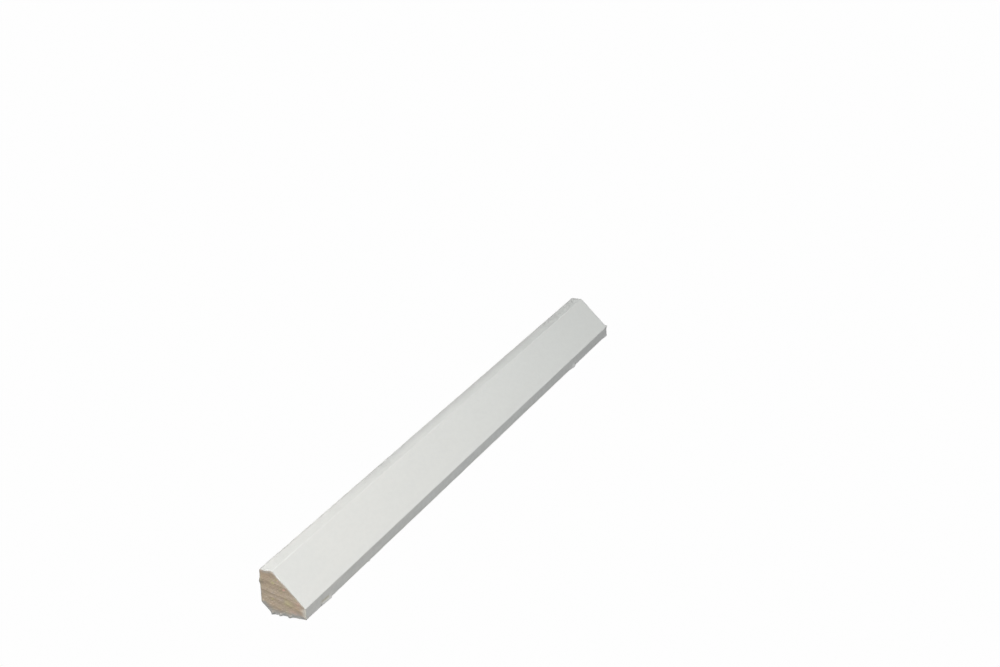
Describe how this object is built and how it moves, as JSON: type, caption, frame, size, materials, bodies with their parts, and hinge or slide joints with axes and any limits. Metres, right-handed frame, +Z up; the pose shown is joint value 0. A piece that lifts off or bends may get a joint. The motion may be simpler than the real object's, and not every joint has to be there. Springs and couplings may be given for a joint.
{
  "type": "corner moulding",
  "caption": "Straight length of white painted softwood corner moulding: a sloping face between narrow flats, with a relieved back corner, to trim an inside corner.",
  "frame": {"origin": "on the underside's plane, below the middle of the stick's box", "axes": "+X along the stick, towards the end that is further from the camera in the picture; +Y towards the upright back; +Z up, away from the underside"},
  "size_m": [0.305, 0.018, 0.0175],
  "materials": {
    "painted_wood": "white satin paint over softwood, with bare sawn end grain at both ends"
  },
  "bodies": {
    "root": {"moulding": "painted_wood"}
  },
  "joints": []
}
